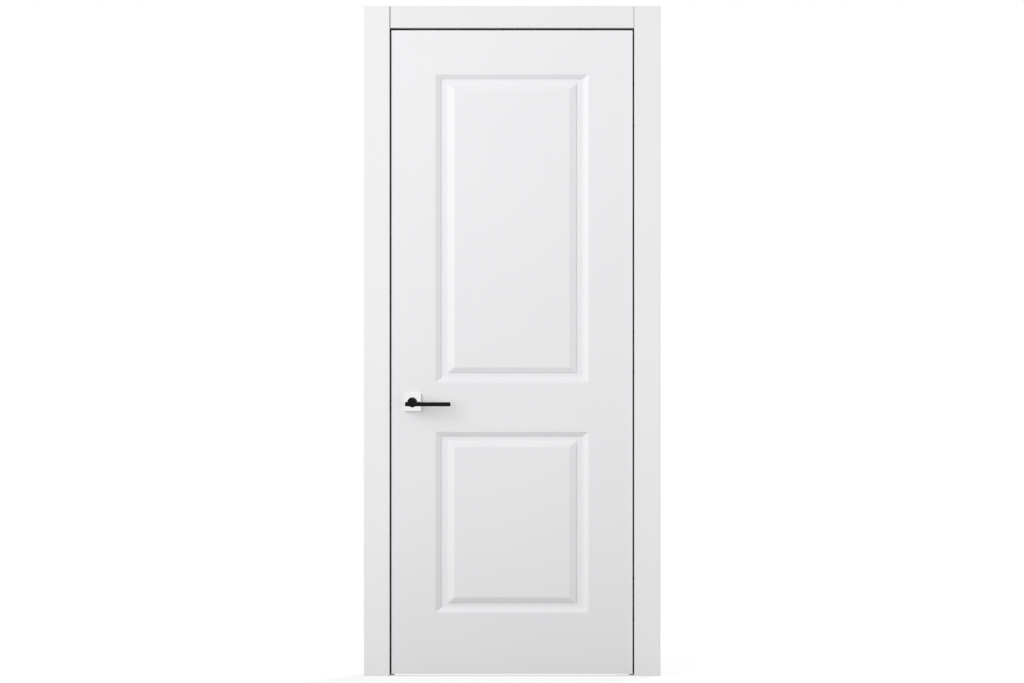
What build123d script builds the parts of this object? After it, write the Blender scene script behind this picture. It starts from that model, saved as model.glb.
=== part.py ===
# Panelled interior door: a two-panel leaf in its lined frame, with casings on both sides,
# concealed hinges, a magnetic latch and a pair of lever handles on square roses.
# Frame: millimetres, +Z up, -Y towards the side that the door opens to.
# Origin: on the wall-side face of the hinge jamb, at floor level, in the middle of the wall.
from build123d import *
import os
from math import cos, radians, sin, tan

# Leaf
leaf_width = 762.0
leaf_height = 2032.0
leaf_thickness = 40.0
floor_gap = 6.5
side_gap = 5.0
top_gap = 7.0
stile_width = 137.0
top_rail_height = 137.5
lock_rail_height = 153.0
bottom_rail_height = 192.5
lower_panel_height = 573.5
leaf_arris = 2.0
latch_edge_bevel = 3.0

# Panels and their mouldings
moulding_width = 19.0
moulding_drop = 7.5
quirk_depth = 3.0
groove_width = 22.5
bevel_width = 22.5
slope_ease = 0.12
bevel_ease = 0.08
profile_radius = 6.0
field_setback = 0.5
tongue_thickness = 12.0
tongue_gap = 2.0
rail_profile_ratio = 0.78

# Frame and casings
wall_thickness = 100.0
jamb_thickness = 40.0
stop_width = 14.0
stop_gap = 4.0
casing_width = 82.0
casing_thickness = 16.0
head_casing_height = 69.5
head_casing_thickness = 11.0
casing_joint_gap = 2.0
casing_arris = 2.5
leaf_setback = 8.0
back_reveal = 4.0
casing_tongue_width = 6.0
casing_tongue_length = 18.0
casing_tongue_inset = 21.0
casing_tongue_play = 0.2

# Seals
seal_stem_width = 3.0
seal_stem_depth = 5.5
seal_bulb_width = 10.0
seal_corner_gap = 0.3
seal_clearance = 0.3

# Concealed hinges, with depths measured behind the face of the casing
hinge_end_distance = 236.0
cup_height = 100.0
cup_wall = 1.5
cup_plate_height = 150.0
cup_plate_thickness = 2.5
cup_plate_corner = 6.0
jamb_cup_front = 13.5
leaf_cup_front = 17.5
leaf_cup_back = 7.5
link_pivot_inset = 5.5
link_pivot_depth = 33.0
link_reach = 52.0
link_width = 5.0
link_height = 60.0
link_eye_radius = 5.0
link_roller_radius = 3.0
link_pin_radius = 2.5
link_pin_play = 0.05
link_play = 1.2

# Latch
latch_depth = 12.0
latch_plate_width = 18.0
latch_plate_height = 196.0
latch_plate_thickness = 3.0
latch_bolt_width = 12.0
latch_bolt_height = 22.0
latch_bolt_length = 32.0
latch_bolt_play = 0.3
strike_plate_thickness = 2.0
strike_pocket_depth = 18.0

# Levers
spindle_inset = 66.5
spindle_height = 857.5
spindle_size = 8.0
spindle_bore_radius = 10.0
rose_size = 55.0
rose_thickness = 8.0
rose_arris = 1.5
rose_chamfer = 0.8
neck_radius = 14.0
neck_play = 0.3
neck_gap = 4.0
lever_reach = 50.0
lever_height = 13.0
lever_thickness = 11.0
lever_length = 121.0
lever_tail = 22.0
lever_arris = 2.0
lever_end_chamfer = 0.8
lever_drop = 5.5

# Places worked out from the sizes above
wall_front = -wall_thickness / 2
wall_back = wall_thickness / 2
casing_face = wall_front - casing_thickness
leaf_front = casing_face + leaf_setback
leaf_back = leaf_front + leaf_thickness
leaf_middle = (leaf_front + leaf_back) / 2
stop_face = leaf_back + stop_gap
hinge_edge = -(jamb_thickness + side_gap)
latch_edge = hinge_edge - leaf_width
frame_width = leaf_width + 2 * (side_gap + jamb_thickness)
stop_inward = jamb_thickness + stop_width
back_casing_inward = stop_inward - back_reveal
leaf_bottom = floor_gap
leaf_top = leaf_bottom + leaf_height
head_underside = leaf_top + top_gap
head_stop_underside = head_underside - stop_width
head_top = head_underside + jamb_thickness
casing_top = head_underside + head_casing_height
opening_left = latch_edge + stile_width
opening_right = hinge_edge - stile_width
opening_centre = (opening_left + opening_right) / 2
lower_opening_base = leaf_bottom + bottom_rail_height
lock_rail_base = lower_opening_base + lower_panel_height
upper_opening_base = lock_rail_base + lock_rail_height
upper_opening_top = leaf_top - top_rail_height
hinge_heights = (
    leaf_bottom + hinge_end_distance,
    (leaf_bottom + leaf_top) / 2,
    leaf_top - hinge_end_distance,
)
openings = {
    "lower": (lower_opening_base, lock_rail_base),
    "upper": (upper_opening_base, upper_opening_top),
}
field_margin = moulding_width + groove_width + bevel_width
slope_foot = leaf_thickness / 2 - moulding_drop
groove_floor = slope_foot - quirk_depth
spindle_x = latch_edge + spindle_inset
spindle_z = leaf_bottom + spindle_height
latch_y = wall_front + latch_depth
link_pivot_x = -jamb_thickness + link_pivot_inset
link_pivot_y = casing_face + link_pivot_depth
jamb_cup_depth = link_pivot_inset + link_eye_radius + link_play
leaf_cup_depth = link_reach - link_pivot_inset - side_gap + link_roller_radius + link_play


def side_x(side, inward):
    # x of a point that lies this far inward from a jamb's wall-side face
    return -inward if side == "hinge" else inward - frame_width


def block(x, y, z, mode=Mode.ADD):
    # a box between two limits along each axis, in the part that is being built
    spans = [sorted(pair) for pair in (x, y, z)]
    with Locations(tuple((low + high) / 2 for low, high in spans)):
        Box(*[high - low for low, high in spans], mode=mode)


def write(solid, name):
    solid.label = name
    export_step(solid, f"parts/{name}.step")


# Jambs: a rebate for the leaf, a stop behind it, and slots for the casing tongues and the seal
slot_width = casing_tongue_width + 2 * casing_tongue_play
slot_depth = casing_tongue_length + casing_tongue_play
seal_offset = seal_corner_gap + seal_bulb_width / 2
seal_inward = jamb_thickness + seal_offset


def jamb_post(side):
    outline = (
        (0, wall_front),
        (jamb_thickness, wall_front),
        (jamb_thickness, stop_face),
        (stop_inward, stop_face),
        (stop_inward, wall_back),
        (0, wall_back),
    )
    with BuildPart() as post:
        with BuildSketch():
            with BuildLine():
                Polyline(*[(side_x(side, inward), y) for inward, y in outline], close=True)
            make_face()
            slots = (
                (side_x(side, jamb_thickness - casing_tongue_inset), wall_front + slot_depth / 2),
                (side_x(side, back_casing_inward - casing_tongue_inset), wall_back - slot_depth / 2),
            )
            with Locations(*slots):
                Rectangle(slot_width, slot_depth, mode=Mode.SUBTRACT)
            with Locations((side_x(side, seal_inward), stop_face + seal_stem_depth / 2)):
                Rectangle(seal_stem_width, seal_stem_depth, mode=Mode.SUBTRACT)
        extrude(amount=head_underside)
        # the stop ends under the head's stop
        block(
            (side_x(side, 0), side_x(side, stop_inward)),
            (stop_face, wall_back),
            (head_stop_underside, head_underside),
            mode=Mode.SUBTRACT,
        )
    return post.part


# Hinge cups: a pressed box let into the edge, with a longer face plate for its screws
def cup_blank(face, inward, front, back, depth, height):
    y = (front - cup_wall, back + cup_wall)
    with BuildPart() as blank:
        block((face, face + inward * cup_plate_thickness), y,
              (height - cup_plate_height / 2, height + cup_plate_height / 2))
        fillet(blank.edges().filter_by(Axis.X), cup_plate_corner)
        block((face, face + inward * (depth + cup_wall)), y,
              (height - cup_height / 2, height + cup_height / 2))
    return blank.part


def cup_cavity(face, inward, front, back, depth, height):
    with BuildPart() as cavity:
        block((face, face + inward * depth), (front, back),
              (height - cup_height / 2 + cup_wall, height + cup_height / 2 - cup_wall))
    return cavity.part


jamb_cup = (
    -jamb_thickness,
    1,
    link_pivot_y - jamb_cup_front,
    link_pivot_y + link_eye_radius + link_play,
    jamb_cup_depth,
)
leaf_cup = (
    hinge_edge,
    -1,
    link_pivot_y - leaf_cup_front,
    link_pivot_y + leaf_cup_back,
    leaf_cup_depth,
)

os.makedirs("parts", exist_ok=True)

with BuildPart() as hinge_jamb:
    add(jamb_post("hinge"))
    for height in hinge_heights:
        add(cup_blank(*jamb_cup, height), mode=Mode.SUBTRACT)
write(hinge_jamb.part, "hinge_jamb")

# Strike: a rounded plate on the latch jamb, with a pocket behind it for the bolt
strike_plane = Plane(
    origin=(side_x("latch", jamb_thickness), latch_y, spindle_z), x_dir=(0, 1, 0), z_dir=(1, 0, 0)
)
bolt_window = (latch_bolt_width + 2 * latch_bolt_play, latch_bolt_height + 2 * latch_bolt_play)
plate_centres = latch_plate_height - latch_plate_width

with BuildPart() as latch_jamb:
    add(jamb_post("latch"))
    with BuildSketch(strike_plane):
        SlotCenterToCenter(plate_centres, latch_plate_width, rotation=90)
    extrude(amount=-strike_plate_thickness, mode=Mode.SUBTRACT)
    with BuildSketch(strike_plane):
        Rectangle(*bolt_window)
    extrude(amount=-strike_pocket_depth, mode=Mode.SUBTRACT)
write(latch_jamb.part, "latch_jamb")

with BuildPart() as strike:
    with BuildSketch(strike_plane):
        SlotCenterToCenter(plate_centres, latch_plate_width, rotation=90)
        Rectangle(*bolt_window, mode=Mode.SUBTRACT)
    extrude(amount=-strike_plate_thickness)
write(strike.part, "strike_plate")

with BuildPart() as head_jamb:
    with BuildSketch(Plane.YZ.offset(-frame_width)):
        with BuildLine():
            Polyline(
                (wall_front, head_underside),
                (stop_face, head_underside),
                (stop_face, head_stop_underside),
                (wall_back, head_stop_underside),
                (wall_back, head_top),
                (wall_front, head_top),
                close=True,
            )
        make_face()
        with Locations((wall_front + slot_depth / 2, head_underside + casing_tongue_inset)):
            Rectangle(slot_depth, slot_width, mode=Mode.SUBTRACT)
        with Locations((wall_back - slot_depth / 2, head_stop_underside + back_reveal + casing_tongue_inset)):
            Rectangle(slot_depth, slot_width, mode=Mode.SUBTRACT)
        with Locations((stop_face + seal_stem_depth / 2, head_underside - seal_offset)):
            Rectangle(seal_stem_depth, seal_stem_width, mode=Mode.SUBTRACT)
    extrude(amount=frame_width)
write(head_jamb.part, "head_jamb")


# Casings: flat boards with eased front edges, held by a tongue in the jamb
def side_casing(side, wall_face, out, inner):
    with BuildPart() as casing:
        with BuildSketch():
            with Locations((side_x(side, inner - casing_width / 2), wall_face + out * casing_thickness / 2)):
                Rectangle(casing_width, casing_thickness)
        extrude(amount=casing_top)
        face = casing.faces().sort_by(Axis.Y)[0 if out < 0 else -1]
        fillet(face.edges().filter_by(Axis.Z), casing_arris)
        with BuildSketch():
            tongue_x = side_x(side, inner - casing_tongue_inset)
            with Locations((tongue_x, wall_face - out * casing_tongue_length / 2)):
                Rectangle(casing_tongue_width, casing_tongue_length)
        extrude(amount=head_underside - stop_width)
    return casing.part


def head_casing(wall_face, out, inner, base):
    # it fits between the side casings, with a narrow open joint at each end
    start = side_x("latch", inner + casing_joint_gap)
    length = side_x("hinge", inner + casing_joint_gap) - start
    with BuildPart() as casing:
        with BuildSketch(Plane.YZ.offset(start)):
            with Locations((wall_face + out * head_casing_thickness / 2, (base + casing_top) / 2)):
                Rectangle(head_casing_thickness, casing_top - base)
        extrude(amount=length)
        face = casing.faces().sort_by(Axis.Y)[0 if out < 0 else -1]
        fillet(face.edges().filter_by(Axis.X), casing_arris)
        with BuildSketch(Plane.YZ.offset(start)):
            with Locations((wall_face - out * casing_tongue_length / 2, base + casing_tongue_inset)):
                Rectangle(casing_tongue_length, casing_tongue_width)
        extrude(amount=length)
    return casing.part


for side in ("hinge", "latch"):
    write(side_casing(side, wall_front, -1, jamb_thickness), f"{side}_casing_front")
    write(side_casing(side, wall_back, 1, back_casing_inward), f"{side}_casing_back")
write(head_casing(wall_front, -1, jamb_thickness, head_underside), "head_casing_front")
write(head_casing(wall_back, 1, back_casing_inward, head_stop_underside + back_reveal), "head_casing_back")


# Seals: a bulb on the stop, with a stem in the slot behind it
def seal_section(plane, across, turned):
    # turned swaps the two directions for the head
    def place(point):
        return point[::-1] if turned else point

    half = seal_bulb_width / 2
    crown = stop_face - stop_gap + seal_clearance
    with BuildSketch(plane) as section:
        with BuildLine():
            bulb = ThreePointArc(
                place((across - half, stop_face)),
                place((across, crown)),
                place((across + half, stop_face)),
            )
            Line(bulb @ 1, bulb @ 0)
        make_face()
        with Locations(place((across, stop_face + seal_stem_depth / 2))):
            Rectangle(*place((seal_stem_width, seal_stem_depth)))
    return section.sketch


for side in ("hinge", "latch"):
    section = seal_section(Plane.XY.offset(leaf_bottom), side_x(side, seal_inward), False)
    with BuildPart() as seal:
        extrude(section, amount=head_stop_underside - leaf_bottom, dir=(0, 0, 1))
    write(seal.part, f"{side}_seal")

head_seal_plane = Plane.YZ.offset(side_x("latch", jamb_thickness))
section = seal_section(head_seal_plane, head_underside - seal_offset, True)
with BuildPart() as head_seal:
    extrude(section, amount=frame_width - 2 * jamb_thickness, dir=(1, 0, 0))
write(head_seal.part, "head_seal")

# Leaf: two stiles and three rails
leaf_y = (leaf_front, leaf_back)

with BuildPart() as hinge_stile:
    block((hinge_edge - stile_width, hinge_edge), leaf_y, (leaf_bottom, leaf_top))
    outer = hinge_stile.edges().filter_by(Axis.Z).group_by(Axis.X)[-1]
    top = hinge_stile.edges().filter_by(Axis.X).group_by(Axis.Z)[-1]
    fillet(outer + top, leaf_arris)
    for height in hinge_heights:
        add(cup_blank(*leaf_cup, height), mode=Mode.SUBTRACT)
write(hinge_stile.part, "hinge_stile")

# the latch edge leans in towards the back, so that it clears the jamb as the door opens
bevel = radians(latch_edge_bevel)
latch_plane = Plane(
    origin=(latch_edge + (latch_y - leaf_front) * tan(bevel), latch_y, spindle_z),
    x_dir=(sin(bevel), cos(bevel), 0),
    z_dir=(-cos(bevel), sin(bevel), 0),
)

with BuildPart() as latch_stile:
    with BuildSketch(Plane.XY.offset(leaf_bottom)):
        with BuildLine():
            Polyline(
                (latch_edge, leaf_front),
                (latch_edge + leaf_thickness * tan(bevel), leaf_back),
                (opening_left, leaf_back),
                (opening_left, leaf_front),
                close=True,
            )
        make_face()
    extrude(amount=leaf_height)
    outer = latch_stile.edges().filter_by(Axis.Z).sort_by(Axis.X)[:2]
    top = latch_stile.edges().filter_by(Axis.X).group_by(Axis.Z)[-1]
    fillet(outer + top, leaf_arris)
    with Locations((spindle_x, leaf_middle, spindle_z)):
        Cylinder(spindle_bore_radius, 2 * leaf_thickness, rotation=(90, 0, 0), mode=Mode.SUBTRACT)
    with BuildSketch(latch_plane):
        SlotCenterToCenter(plate_centres, latch_plate_width, rotation=90)
    extrude(amount=-latch_plate_thickness, mode=Mode.SUBTRACT)
    with BuildSketch(latch_plane):
        Rectangle(*bolt_window)
    extrude(amount=-latch_bolt_length, mode=Mode.SUBTRACT)
write(latch_stile.part, "latch_stile")

rails = {
    "bottom_rail": (leaf_bottom, lower_opening_base),
    "lock_rail": (lock_rail_base, upper_opening_base),
    "top_rail": (upper_opening_top, leaf_top),
}
for name, height_span in rails.items():
    with BuildPart() as rail:
        block((opening_left, opening_right), leaf_y, height_span)
        if name == "top_rail":
            fillet(rail.edges().filter_by(Axis.X).group_by(Axis.Z)[-1], leaf_arris)
    write(rail.part, name)

# Latch: a rounded plate on the edge, with the magnetic bolt drawn in flush with it
with BuildPart() as latch_plate:
    with BuildSketch(latch_plane):
        SlotCenterToCenter(plate_centres, latch_plate_width, rotation=90)
        Rectangle(*bolt_window, mode=Mode.SUBTRACT)
    extrude(amount=-latch_plate_thickness)
write(latch_plate.part, "latch_plate")

with BuildPart() as latch_bolt:
    with BuildSketch(latch_plane):
        Rectangle(latch_bolt_width, latch_bolt_height)
    extrude(amount=-latch_bolt_length)
write(latch_bolt.part, "latch_bolt")


# Panels and mouldings run round each opening in four lengths that meet in mitres.
# Their sections are drawn inwards from the opening's edge, narrower along the rails.
def moulding_outline(scale, out):
    # an eased edge at the face, a slope, and a square drop at its foot
    face = out * leaf_thickness / 2
    foot = out * slope_foot
    back = out * tongue_thickness / 2
    width = moulding_width * scale
    slope = FilletPolyline((0, face), (slope_ease * width, face), (width, foot), radius=profile_radius)
    Polyline(slope @ 1, (width, back), (0, back), slope @ 0)


def panel_outline(scale, out):
    # half of the panel's edge: a tongue, a level groove, and a bevel from a square shoulder to the field
    field = out * (leaf_thickness / 2 - field_setback)
    foot = out * slope_foot
    floor = out * groove_floor
    tongue = out * tongue_thickness / 2
    edge = tongue_gap * scale
    shoulder = moulding_width * scale
    rise = (moulding_width + groove_width) * scale
    crest = field_margin * scale
    knee = crest - bevel_ease * bevel_width * scale
    bevel = FilletPolyline((rise, foot), (knee, field), (crest, field), radius=profile_radius)
    Polyline(bevel @ 1, (crest, 0), (edge, 0), (edge, tongue), (shoulder, tongue))
    Polyline((shoulder, tongue), (shoulder, floor), (rise, floor), bevel @ 0)


def mitre(corner, middle):
    # plane through a corner of an opening, facing the length that ends there
    across = middle[0] - corner[0]
    up = middle[1] - corner[1]
    lean = (rail_profile_ratio, -1.0) if across * up > 0 else (rail_profile_ratio, 1.0)
    return Plane(origin=(corner[0], leaf_middle, corner[1]), x_dir=(0, 1, 0), z_dir=(lean[0], 0, lean[1]))


def framed_length(base, top, inward, outline, out):
    # one length, from mitre to mitre, on the side that faces inward
    centre = (opening_centre, (base + top) / 2)
    half = ((opening_right - opening_left) / 2, (top - base) / 2)
    middle = (centre[0] - inward[0] * half[0], centre[1] - inward[1] * half[1])
    upright = inward[1] == 0
    run = half[1] if upright else half[0]
    along = (0, 1) if upright else (1, 0)
    plane = Plane(
        origin=(middle[0], leaf_middle, middle[1]),
        x_dir=(inward[0], 0, inward[1]),
        z_dir=(-inward[1], 0, inward[0]),
    )
    with BuildPart() as length:
        with BuildSketch(plane):
            with BuildLine():
                outline(1.0 if upright else rail_profile_ratio, out)
            make_face()
        extrude(amount=run, both=True)
        for end in (-1, 1):
            corner = (middle[0] + end * along[0] * run, middle[1] + end * along[1] * run)
            cut = mitre(corner, centre)
            facing = cut.to_local_coords(Vector(middle[0], leaf_middle, middle[1])).Z > 0
            split(bisect_by=cut, keep=Keep.TOP if facing else Keep.BOTTOM)
    return length.part


def framed_ring(base, top, outline, out):
    sides = ((1, 0), (-1, 0), (0, 1), (0, -1))
    lengths = [framed_length(base, top, inward, outline, out) for inward in sides]
    with BuildPart() as ring:
        for length in lengths:
            add(length)
    return ring.part


def raised_panel(base, top):
    faces = [framed_ring(base, top, panel_outline, out) for out in (-1, 1)]
    field = leaf_thickness / 2 - field_setback
    margin = field_margin * rail_profile_ratio
    with BuildPart() as panel:
        for face in faces:
            add(face)
        block(
            (opening_left + field_margin, opening_right - field_margin),
            (leaf_middle - field, leaf_middle + field),
            (base + margin, top - margin),
        )
    return panel.part


for name, (base, top) in openings.items():
    write(raised_panel(base, top), f"{name}_panel")
    write(framed_ring(base, top, moulding_outline, -1), f"{name}_moulding_front")
    write(framed_ring(base, top, moulding_outline, 1), f"{name}_moulding_back")

# Hinges: a cup in the jamb that holds the pin, a cup in the stile, and the link between them
for name, height in zip(("lower", "middle", "upper"), hinge_heights):
    with BuildPart() as frame_cup:
        add(cup_blank(*jamb_cup, height))
        add(cup_cavity(*jamb_cup, height), mode=Mode.SUBTRACT)
        with Locations((link_pivot_x, link_pivot_y, height)):
            Cylinder(link_pin_radius, cup_height - cup_wall)
    write(frame_cup.part, f"{name}_hinge_frame_cup")

    with BuildPart() as stile_cup:
        add(cup_blank(*leaf_cup, height))
        add(cup_cavity(*leaf_cup, height), mode=Mode.SUBTRACT)
    write(stile_cup.part, f"{name}_hinge_leaf_cup")

    with BuildPart() as link:
        with BuildSketch(Plane.XY.offset(height - link_height / 2)):
            with Locations((link_pivot_x - link_reach / 2, link_pivot_y)):
                Rectangle(link_reach, link_width)
            with Locations((link_pivot_x, link_pivot_y)):
                Circle(link_eye_radius)
            with Locations((link_pivot_x - link_reach, link_pivot_y)):
                Circle(link_roller_radius)
            with Locations((link_pivot_x, link_pivot_y)):
                Circle(link_pin_radius + link_pin_play, mode=Mode.SUBTRACT)
        extrude(amount=link_height)
    write(link.part, f"{name}_hinge_link")


# Handles: a square rose on each face, and a lever with a round neck on one spindle
def rose(face, out):
    with BuildPart() as plate:
        block(
            (spindle_x - rose_size / 2, spindle_x + rose_size / 2),
            (face, face + out * rose_thickness),
            (spindle_z - rose_size / 2, spindle_z + rose_size / 2),
        )
        fillet(plate.edges().filter_by(Axis.Y), rose_arris)
        front = plate.faces().sort_by(Axis.Y)[0 if out < 0 else -1]
        chamfer(front.edges(), rose_chamfer)
        with Locations((spindle_x, face + out * rose_thickness / 2, spindle_z)):
            Cylinder(neck_radius + neck_play, 2 * rose_thickness, rotation=(90, 0, 0), mode=Mode.SUBTRACT)
    return plate.part


def lever(face, out):
    neck_length = lever_reach - neck_gap
    bar_middle = spindle_z - lever_drop
    bar_near = lever_reach - lever_thickness / 2
    with BuildPart() as handle:
        block(
            (spindle_x - lever_tail, spindle_x + lever_length),
            (face + out * bar_near, face + out * (bar_near + lever_thickness)),
            (bar_middle - lever_height / 2, bar_middle + lever_height / 2),
        )
        fillet(handle.edges().filter_by(Axis.X), lever_arris)
        ends = handle.faces().filter_by(Axis.X)
        chamfer(ends.edges(), lever_end_chamfer)
        with Locations((spindle_x, face + out * (neck_gap + neck_length / 2), spindle_z)):
            Cylinder(neck_radius, neck_length, rotation=(90, 0, 0))
    return handle.part


for name, face, out in (("front", leaf_front, -1), ("back", leaf_back, 1)):
    write(rose(face, out), f"{name}_rose")
    write(lever(face, out), f"{name}_lever")

with BuildPart() as spindle:
    block(
        (spindle_x - spindle_size / 2, spindle_x + spindle_size / 2),
        (leaf_front - neck_gap, leaf_back + neck_gap),
        (spindle_z - spindle_size / 2, spindle_z + spindle_size / 2),
    )
write(spindle.part, "spindle")
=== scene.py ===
import math

import bpy
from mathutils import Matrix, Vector


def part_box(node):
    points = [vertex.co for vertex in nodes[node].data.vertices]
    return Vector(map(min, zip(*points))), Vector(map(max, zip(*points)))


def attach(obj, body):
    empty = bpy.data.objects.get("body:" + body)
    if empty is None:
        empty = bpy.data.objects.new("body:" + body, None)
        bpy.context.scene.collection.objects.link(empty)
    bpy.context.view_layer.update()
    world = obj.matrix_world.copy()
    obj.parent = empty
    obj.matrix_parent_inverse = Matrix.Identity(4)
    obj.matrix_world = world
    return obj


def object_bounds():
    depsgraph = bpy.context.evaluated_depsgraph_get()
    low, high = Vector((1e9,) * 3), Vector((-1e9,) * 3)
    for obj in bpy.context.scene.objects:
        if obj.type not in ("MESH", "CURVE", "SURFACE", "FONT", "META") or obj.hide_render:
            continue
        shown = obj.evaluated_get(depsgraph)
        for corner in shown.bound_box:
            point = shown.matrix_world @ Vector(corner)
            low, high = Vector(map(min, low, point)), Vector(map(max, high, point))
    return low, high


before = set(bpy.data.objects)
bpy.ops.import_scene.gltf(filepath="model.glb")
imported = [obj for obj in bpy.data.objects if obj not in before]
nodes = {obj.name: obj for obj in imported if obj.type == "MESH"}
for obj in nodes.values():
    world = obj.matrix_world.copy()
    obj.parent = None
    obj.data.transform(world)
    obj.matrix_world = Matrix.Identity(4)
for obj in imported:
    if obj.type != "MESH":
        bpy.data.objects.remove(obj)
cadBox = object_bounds()
doorMiddle = (cadBox[0].x + cadBox[1].x) / 2
doorTop = cadBox[1].z
scene = bpy.context.scene
scene.view_settings.view_transform = "Standard"
print("frame loaded:", len(nodes), "nodes")


class Wire:
    # a socket that takes part in sums, and adds any other node to its tree
    def __init__(self, tree, socket=None):
        self.tree = tree
        self.socket = socket

    def add(self, kind, settings=None, values=None, out=0):
        node = self.tree.nodes.new(kind)
        for name, value in (settings or {}).items():
            setattr(node, name, value)
        for name, value in (values or {}).items():
            if isinstance(value, Wire):
                self.tree.links.new(value.socket, node.inputs[name])
            else:
                node.inputs[name].default_value = value
        return Wire(self.tree, node.outputs[out] if len(node.outputs) else None)

    def sum(self, operation, first, second):
        return self.add("ShaderNodeMath", {"operation": operation}, {0: first, 1: second})

    def __add__(self, other):
        return self.sum("ADD", self, other)

    def __radd__(self, other):
        return self.sum("ADD", other, self)

    def __sub__(self, other):
        return self.sum("SUBTRACT", self, other)

    def __rsub__(self, other):
        return self.sum("SUBTRACT", other, self)

    def __mul__(self, other):
        return self.sum("MULTIPLY", self, other)

    def __rmul__(self, other):
        return self.sum("MULTIPLY", other, self)

    def blend(self, low, high):
        # a colour between two, by this value
        return self.add("ShaderNodeMix", {"data_type": "RGBA"}, {0: self, 6: low, 7: high}, out=2)

    def ramp(self, start, end):
        # this value spread from 0 at start to 1 at end
        return self.add("ShaderNodeMapRange", {"clamp": True}, {0: self, 1: start, 2: end})


def newMaterial(name):
    material = bpy.data.materials.new(name)
    material.use_nodes = True
    material.node_tree.nodes.clear()
    return material, Wire(material.node_tree)


def finishMaterial(wire, shader):
    wire.add("ShaderNodeOutputMaterial", None, {"Surface": shader})


def objectPlace(wire):
    return wire.add("ShaderNodeTexCoord", None, None, out="Object")


def pattern(wire, scale, stretch=(1.0, 1.0, 1.0), detail=3.0, roughness=0.5):
    # noise in metres, drawn out along an axis where stretch is small
    place = wire.add("ShaderNodeMapping", None, {"Vector": objectPlace(wire), "Scale": stretch})
    values = {"Vector": place, "Scale": scale, "Detail": detail, "Roughness": roughness}
    return wire.add("ShaderNodeTexNoise", None, values)


def bumpFrom(wire, relief, strength, depth):
    return wire.add("ShaderNodeBump", None, {"Strength": strength, "Distance": depth, "Height": relief})


# White paint: sprayed satin, with a fine stipple and a faint lay; on the uprights a painted shade darkens the
# colour towards the head
whitePaint = {
    "clouds": 2.2, "cloudEdges": (0.3, 0.7), "cloudShare": 0.65,
    "lay": 60.0, "layShare": 0.35, "layRelief": 0.8,
    "stipple": 700.0, "stippleRelief": 0.6,
    "bump": 0.25, "bumpDepth": 0.00012,
    "roughness": 0.32, "roughnessSpread": 0.08, "specular": 0.4,
}
# Painted shade: the uprights run from a light colour at the foot to a dark one at the head, and the head
# casings take a darker tone to match
uprightPaint = {"light": (0.925, 0.922, 0.918, 1.0), "dark": (0.842, 0.839, 0.836, 1.0), "paintedHeadShade": 0.75}
headPaint = {"light": (0.848, 0.845, 0.842, 1.0), "dark": (0.827, 0.824, 0.821, 1.0), "paintedHeadShade": 0.0}
leafPaint = {"light": (0.871, 0.866, 0.879, 1.0), "dark": (0.849, 0.844, 0.858, 1.0), "paintedHeadShade": 0.0}
paintLay = {"upright": (1.0, 1.0, 0.03), "across": (0.03, 1.0, 1.0), "moulded": (0.25, 1.0, 0.25)}


def makePaint(name, paint, lie):
    material, wire = newMaterial(name)
    clouds = pattern(wire, whitePaint["clouds"], detail=4.0)
    lay = pattern(wire, whitePaint["lay"], paintLay[lie], detail=4.0)
    stipple = pattern(wire, whitePaint["stipple"], detail=2.0)
    height = wire.add("ShaderNodeSeparateXYZ", None, {0: objectPlace(wire)}, out="Z")
    tone = clouds.ramp(*whitePaint["cloudEdges"]) * whitePaint["cloudShare"] + lay * whitePaint["layShare"]
    # painted shade: the colour darkens with height towards the head, in the share given
    tone = tone * (1 - paint["paintedHeadShade"]) + height.ramp(doorTop, 0.0) * paint["paintedHeadShade"]
    relief = stipple * whitePaint["stippleRelief"] + lay * whitePaint["layRelief"]
    shader = wire.add("ShaderNodeBsdfPrincipled", None, {
        "Base Color": tone.blend(paint["dark"], paint["light"]),
        "Roughness": lay * whitePaint["roughnessSpread"] + whitePaint["roughness"],
        "Specular IOR Level": whitePaint["specular"],
        "Normal": bumpFrom(wire, relief, whitePaint["bump"], whitePaint["bumpDepth"]),
    })
    finishMaterial(wire, shader)
    return material


# Satin black of the levers, with the fine grain of a powder coat
blackLacquer = {
    "light": (0.0085, 0.0083, 0.0079, 1.0), "dark": (0.005, 0.0049, 0.0047, 1.0),
    "grain": 1800.0, "bump": 0.2, "bumpDepth": 0.00004,
    "rubbed": 45.0, "rubbedStretch": (0.25, 1.0, 1.0), "rubbedEdges": (0.3, 0.7),
    "roughness": 0.26, "roughnessSpread": 0.12, "specular": 0.07,
}


def makeBlack(name):
    material, wire = newMaterial(name)
    grain = pattern(wire, blackLacquer["grain"], detail=2.0)
    rubbed = pattern(wire, blackLacquer["rubbed"], blackLacquer["rubbedStretch"], detail=5.0)
    tone = rubbed.ramp(*blackLacquer["rubbedEdges"])
    shader = wire.add("ShaderNodeBsdfPrincipled", None, {
        "Base Color": tone.blend(blackLacquer["dark"], blackLacquer["light"]),
        "Roughness": rubbed * blackLacquer["roughnessSpread"] + blackLacquer["roughness"],
        "Specular IOR Level": blackLacquer["specular"],
        "Normal": bumpFrom(wire, grain, blackLacquer["bump"], blackLacquer["bumpDepth"]),
    })
    finishMaterial(wire, shader)
    return material


# Metals: polished plating for the roses, satin steel for the latch, burnished black for the hinges
metalGrain = {
    "lines": 420.0, "lineRoughness": 0.6, "lineShare": 0.6, "bumpDepth": 0.00005,
    "haze": 30.0, "hazeShare": 0.4, "roughnessSpread": 0.06,
}
polished = {
    "light": (0.9, 0.9, 0.905, 1.0), "dark": (0.83, 0.83, 0.84, 1.0),
    "roughness": 0.05, "stretch": (1.0, 1.0, 1.0), "bump": 0.02,
}
brushed = {
    "light": (0.62, 0.62, 0.62, 1.0), "dark": (0.47, 0.47, 0.475, 1.0),
    "roughness": 0.27, "stretch": (1.0, 1.0, 0.04), "bump": 0.12,
}
burnished = {
    "light": (0.085, 0.083, 0.08, 1.0), "dark": (0.05, 0.049, 0.048, 1.0),
    "roughness": 0.36, "stretch": (1.0, 1.0, 0.04), "bump": 0.15,
}


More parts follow.
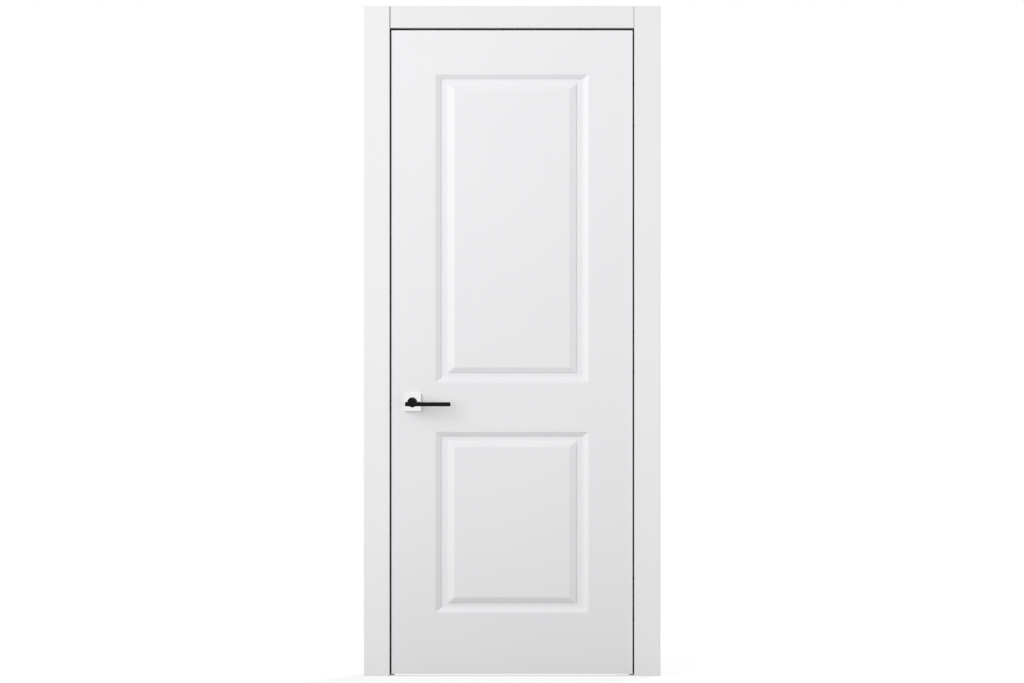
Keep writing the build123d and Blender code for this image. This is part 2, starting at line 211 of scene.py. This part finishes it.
def makeMetal(name, finish):
    material, wire = newMaterial(name)
    lines = pattern(wire, metalGrain["lines"], finish["stretch"], 5.0, metalGrain["lineRoughness"])
    haze = pattern(wire, metalGrain["haze"], detail=3.0)
    tone = lines * metalGrain["lineShare"] + haze * metalGrain["hazeShare"]
    shader = wire.add("ShaderNodeBsdfPrincipled", None, {
        "Base Color": tone.blend(finish["dark"], finish["light"]),
        "Metallic": 1.0,
        "Roughness": haze * metalGrain["roughnessSpread"] + finish["roughness"],
        "Normal": bumpFrom(wire, lines, finish["bump"], metalGrain["bumpDepth"]),
    })
    finishMaterial(wire, shader)
    return material


# Black seal rubber, a little dusty
sealRubber = {
    "light": (0.03, 0.03, 0.03, 1.0), "dark": (0.014, 0.014, 0.014, 1.0),
    "dust": 90.0, "dustEdges": (0.35, 0.75),
    "grain": 2200.0, "bump": 0.35, "bumpDepth": 0.00006,
    "roughness": 0.6, "roughnessSpread": 0.2,
}


def makeRubber(name):
    material, wire = newMaterial(name)
    dust = pattern(wire, sealRubber["dust"], detail=5.0)
    grain = pattern(wire, sealRubber["grain"], detail=2.0)
    tone = dust.ramp(*sealRubber["dustEdges"])
    shader = wire.add("ShaderNodeBsdfPrincipled", None, {
        "Base Color": tone.blend(sealRubber["dark"], sealRubber["light"]),
        "Roughness": dust * sealRubber["roughnessSpread"] + sealRubber["roughness"],
        "Normal": bumpFrom(wire, grain, sealRubber["bump"], sealRubber["bumpDepth"]),
    })
    finishMaterial(wire, shader)
    return material


frameUpright = makePaint("frameUpright", uprightPaint, "upright")
frameAcross = makePaint("frameAcross", headPaint, "across")
leafUpright = makePaint("leafUpright", leafPaint, "upright")
leafAcross = makePaint("leafAcross", leafPaint, "across")
leafMoulded = makePaint("leafMoulded", leafPaint, "moulded")
leverBlack = makeBlack("leverBlack")
roseChrome = makeMetal("roseChrome", polished)
hingeSteel = makeMetal("hingeSteel", burnished)
latchSteel = makeMetal("latchSteel", brushed)
rubber = makeRubber("sealRubber")


def finishFor(name):
    if name.endswith("_seal"):
        return rubber
    if name.endswith("_rose"):
        return roseChrome
    if name.endswith("_lever"):
        return leverBlack
    if "_hinge_" in name or name == "spindle":
        return hingeSteel
    if name in ("latch_plate", "latch_bolt", "strike_plate"):
        return latchSteel
    if "moulding" in name:
        return leafMoulded
    if name.endswith("_rail"):
        return leafAcross
    if name.startswith("head_"):
        return frameAcross
    if "jamb" in name or "casing" in name:
        return frameUpright
    return leafUpright


for name, node in nodes.items():
    node.data.materials.clear()
    node.data.materials.append(finishFor(name))
print("finishes set on the solids")

squareOn = 0.9  # least share of a normal along a direction for a face that looks that way
smoothAngle = math.radians(35)


def deselect():
    if bpy.context.object and bpy.context.object.mode != "OBJECT":
        bpy.ops.object.mode_set(mode="OBJECT")
    bpy.ops.object.select_all(action="DESELECT")


def takeUp(piece):
    # selects one piece and makes it the active one
    deselect()
    piece.select_set(True)
    bpy.context.view_layer.objects.active = piece


def applyPlace(piece):
    takeUp(piece)
    bpy.ops.object.transform_apply(location=True, rotation=True, scale=True)


def pickFaces(piece, direction):
    # selects the faces that look along a direction
    bpy.ops.object.mode_set(mode="EDIT")
    bpy.ops.mesh.select_mode(type="FACE")
    bpy.ops.mesh.select_all(action="DESELECT")
    bpy.ops.object.mode_set(mode="OBJECT")
    for face in piece.data.polygons:
        face.select = face.normal.dot(direction) > squareOn
    bpy.ops.object.mode_set(mode="EDIT")


def upright(radius, depth, sides, middle):
    # a cylinder on the Z axis, with its middle at this height
    deselect()
    bpy.ops.mesh.primitive_cylinder_add(vertices=sides, radius=radius, depth=depth, location=(0, 0, middle))
    piece = bpy.context.object
    applyPlace(piece)
    return piece


def block(size, place, turn=0.0):
    # a box of this size, turned about the Z axis
    deselect()
    bpy.ops.mesh.primitive_cube_add(size=1.0, location=place)
    piece = bpy.context.object
    piece.scale = size
    piece.rotation_euler = (0, 0, turn)
    applyPlace(piece)
    return piece


def cutAway(piece, cutter):
    takeUp(piece)
    cut = piece.modifiers.new("cut", "BOOLEAN")
    cut.operation = "DIFFERENCE"
    cut.object = cutter
    bpy.ops.object.modifier_apply(modifier=cut.name)
    bpy.data.objects.remove(cutter)


def finishPiece(piece, name, body, finish):
    takeUp(piece)
    piece.name = name
    piece.data.materials.clear()
    piece.data.materials.append(finish)
    bpy.ops.object.shade_smooth_by_angle(angle=smoothAngle)
    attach(piece, body)


def placeCopies(name, master, places, outward, body, finish):
    # copies of a master whose Z axis points outward, joined as one piece
    copies = []
    for place in places:
        copy = master.copy()
        copy.data = master.data.copy()
        scene.collection.objects.link(copy)
        copy.rotation_mode = "QUATERNION"
        copy.rotation_quaternion = Vector(outward).to_track_quat("Z", "Y")
        copy.location = place
        applyPlace(copy)
        copies.append(copy)
    takeUp(copies[0])
    for copy in copies[1:]:
        copy.select_set(True)
    if len(copies) > 1:
        bpy.ops.object.join()
    finishPiece(bpy.context.object, name, body, finish)


def plateSpots(node, sign, fromEnd):
    # a place near each end of an upright plate, on the face that looks along X
    low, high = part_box(node)
    face = high.x if sign > 0 else low.x
    return [Vector((face, (low.y + high.y) / 2, height)) for height in (low.z + fromEnd, high.z - fromEnd)]


# Countersunk screws with a cross recess
screw = {
    "radius": 0.0036, "depth": 0.0012, "sides": 28,
    "rim": 0.0006, "dome": 0.0004, "crown": 0.00016,
    "slotLength": 0.0042, "slotWidth": 0.0009, "slotDepth": 0.0009,
}
screwMaster = upright(screw["radius"], screw["depth"], screw["sides"], 0.0)
pickFaces(screwMaster, Vector((0, 0, 1)))
bpy.ops.mesh.inset(thickness=screw["rim"], depth=screw["dome"])
bpy.ops.mesh.inset(thickness=screw["rim"], depth=screw["crown"])
slotSize = (screw["slotLength"], screw["slotWidth"], 2 * screw["slotDepth"])
for turn in (0.0, math.pi / 2):
    cutAway(screwMaster, block(slotSize, (0, 0, screw["depth"]), turn))

# Socket screws: small plugs with a hexagon socket
socketScrew = {"radius": 0.0024, "sides": 32, "socket": 0.00125, "depth": 0.0012, "proud": 0.0002}
plugLength = 2 * socketScrew["depth"]
plugMiddle = socketScrew["proud"] - socketScrew["depth"]
socketMaster = upright(socketScrew["radius"], plugLength, socketScrew["sides"], plugMiddle)
cutAway(socketMaster, upright(socketScrew["socket"], plugLength, 6, socketScrew["proud"]))
print("screws made")

# Hinge plates: a screw at each end, with an adjuster next to the cup
hingePlates = {"screwFromEnd": 0.0115, "adjusterFromEnd": 0.0202}
for body, sign in (("frame", -1), ("leaf", 1)):
    screws = []
    adjusters = []
    for level in ("lower", "middle", "upper"):
        node = level + "_hinge_" + body + "_cup"
        screws += plateSpots(node, sign, hingePlates["screwFromEnd"])
        adjusters += plateSpots(node, sign, hingePlates["adjusterFromEnd"])
    outward = (sign, 0, 0)
    placeCopies(body + "HingeScrews", screwMaster, screws, outward, body, hingeSteel)
    placeCopies(body + "HingeAdjusters", socketMaster, adjusters, outward, body, latchSteel)

# Latch and strike plates: a screw at each end, with the latch plate's lean followed
latchPlates = {"screwFromEnd": 0.013, "halfThickness": 0.0015, "lean": math.radians(3.0)}
strikeSpots = plateSpots("strike_plate", 1, latchPlates["screwFromEnd"])
placeCopies("strikeScrews", screwMaster, strikeSpots, (1, 0, 0), "frame", latchSteel)
latchLow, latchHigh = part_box("latch_plate")
latchSpots = plateSpots("latch_plate", -1, latchPlates["screwFromEnd"])
for spot in latchSpots:
    spot.x = (latchLow.x + latchHigh.x) / 2 - latchPlates["halfThickness"]
latchOut = (-math.cos(latchPlates["lean"]), math.sin(latchPlates["lean"]), 0)
placeCopies("latchScrews", screwMaster, latchSpots, latchOut, "leaf", latchSteel)
print("plates dressed")

# Handles: a thin black bushing on each rose, and a socket screw under each neck
collar = {"inner": 0.01425, "outer": 0.0159, "height": 0.0012, "sides": 72, "ease": 0.0004, "easeSteps": 2}
neckScrew = {"fromRose": 0.012}
collarMiddle = collar["height"] / 2
collarMaster = upright(collar["outer"], collar["height"], collar["sides"], collarMiddle)
cutAway(collarMaster, upright(collar["inner"], 3 * collar["height"], collar["sides"], collarMiddle))
takeUp(collarMaster)
eased = collarMaster.modifiers.new("eased", "BEVEL")
eased.width = collar["ease"]
eased.segments = collar["easeSteps"]
eased.limit_method = "ANGLE"
bpy.ops.object.modifier_apply(modifier=eased.name)
spindleLow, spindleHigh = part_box("spindle")
spindleMiddle = (spindleLow + spindleHigh) / 2
for side, outward in (("front", -1), ("back", 1)):
    roseLow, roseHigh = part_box(side + "_rose")
    roseFace = roseLow.y if outward < 0 else roseHigh.y
    spot = Vector((spindleMiddle.x, roseFace, spindleMiddle.z))
    placeCopies(side + "Collar", collarMaster, [spot], (0, outward, 0), "leaf", leverBlack)
    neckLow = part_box(side + "_lever")[0].z
    spot = Vector((spindleMiddle.x, roseFace + outward * neckScrew["fromRose"], neckLow))
    placeCopies(side + "NeckScrew", socketMaster, [spot], (0, 0, -1), "lever_set", latchSteel)
for master in (screwMaster, socketMaster, collarMaster):
    bpy.data.objects.remove(master)
print("handles dressed")

# Casing joints: a painted strip with a hollow face closes each end of the head casings
jointStrip = {"setBack": 0.0065, "rim": 0.0003, "hollow": 0.0006}
jambLow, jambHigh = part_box("head_jamb")
for face, outward in (("front", -1), ("back", 1)):
    headLow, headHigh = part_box("head_casing_" + face)
    surface, wall = (headLow.y, jambLow.y) if outward < 0 else (headHigh.y, jambHigh.y)
    near = surface - outward * jointStrip["setBack"]
    for side in ("latch", "hinge"):
        sideLow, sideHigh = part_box(side + "_casing_" + face)
        start, end = (sideHigh.x, headLow.x) if side == "latch" else (headHigh.x, sideLow.x)
        middle = ((start + end) / 2, (near + wall) / 2, (headLow.z + headHigh.z) / 2)
        strip = block((end - start, abs(wall - near), headHigh.z - headLow.z), middle)
        pickFaces(strip, Vector((0, outward, 0)))
        bpy.ops.mesh.inset(thickness=jointStrip["rim"], depth=-jointStrip["hollow"])
        finishPiece(strip, side + face.capitalize() + "JointStrip", "frame", frameUpright)
print("casing joints closed")

white = (1.0, 1.0, 1.0, 1.0)


def grey(level):
    return (level, level, level, 1.0)


def shownRays(wire):
    # 1 for the eye and for what mirrors show it, 0 for light on its way from a matt surface
    paths = ("Is Camera Ray", "Is Glossy Ray", "Is Transmission Ray", "Diffuse Depth")
    seen, mirrored, through, matt = [wire.add("ShaderNodeLightPath", None, None, out=path) for path in paths]
    return (seen + mirrored + through).ramp(0.0, 1.0) * (1 - matt.ramp(0.0, 1.0))


# Floor: white to the eye, darker to the light that bounces off it, with the door's shadow kept
floorLook = {"size": 4.0, "bounce": 0.24, "shadowShare": 0.5, "glow": 0.57}
deselect()
bpy.ops.mesh.primitive_plane_add(size=floorLook["size"], location=(doorMiddle, 0, 0))
floor = bpy.context.object
floor.name = "floor"
floorMaterial, wire = newMaterial("floorWhite")
shown = shownRays(wire)
plain = wire.add("ShaderNodeBsdfDiffuse", None, {"Color": grey(floorLook["bounce"])})
catcher = wire.add("ShaderNodeBsdfDiffuse", None, {"Color": grey(floorLook["shadowShare"])})
glow = wire.add("ShaderNodeEmission", None, {"Color": white, "Strength": floorLook["glow"]})
bright = wire.add("ShaderNodeAddShader", None, {0: catcher, 1: glow})
finishMaterial(wire, wire.add("ShaderNodeMixShader", None, {0: shown, 1: plain, 2: bright}))
floor.data.materials.append(floorMaterial)
print("floor laid")

# World: white where it is seen, and softer where it lights
sky = {"strength": 0.488, "tint": (0.985, 0.99, 1.0, 1.0)}
world = bpy.data.worlds.new("studio")
scene.world = world
world.use_nodes = True
world.node_tree.nodes.clear()
wire = Wire(world.node_tree)
shown = shownRays(wire)
lighting = wire.add("ShaderNodeBackground", None, {"Color": sky["tint"], "Strength": sky["strength"]})
backdrop = wire.add("ShaderNodeBackground", None, {"Color": white, "Strength": 1.0})
surface = wire.add("ShaderNodeMixShader", None, {0: shown, 1: lighting, 2: backdrop})
wire.add("ShaderNodeOutputWorld", None, {"Surface": surface})

# Lamps: a large soft key at the upper left, a weak fill at the lower right, and one behind for the other face
lamps = {
    "keyLamp": {"place": (-5.0, -6.7, 3.6), "aim": (doorMiddle, 0, 1.3), "size": 8.0, "power": 502.0},
    "fillLamp": {"place": (3.0, -5.0, 0.6), "aim": (doorMiddle, 0, 1.3), "size": 3.0, "power": 31.0},
    "backLamp": {"place": (2.4, 6.0, 4.6), "aim": (doorMiddle, 0, 1.1), "size": 3.2, "power": 320.0},
}
for name, spec in lamps.items():
    data = bpy.data.lights.new(name, "AREA")
    data.size = spec["size"]
    data.energy = spec["power"]
    lamp = bpy.data.objects.new(name, data)
    scene.collection.objects.link(lamp)
    lamp.location = spec["place"]
    lamp.rotation_mode = "QUATERNION"
    lamp.rotation_quaternion = (Vector(spec["aim"]) - Vector(spec["place"])).to_track_quat("-Z", "Y")
print("light set")

# Camera: square on to the door
view = {"place": (doorMiddle, -14.066, 1.056), "lens": 156.0, "sensor": 36.0}
cameraData = bpy.data.cameras.new("camera")
cameraData.lens = view["lens"]
cameraData.sensor_width = view["sensor"]
camera = bpy.data.objects.new("camera", cameraData)
scene.collection.objects.link(camera)
camera.location = view["place"]
camera.rotation_euler = (math.pi / 2, 0, 0)
scene.camera = camera
print("camera set")
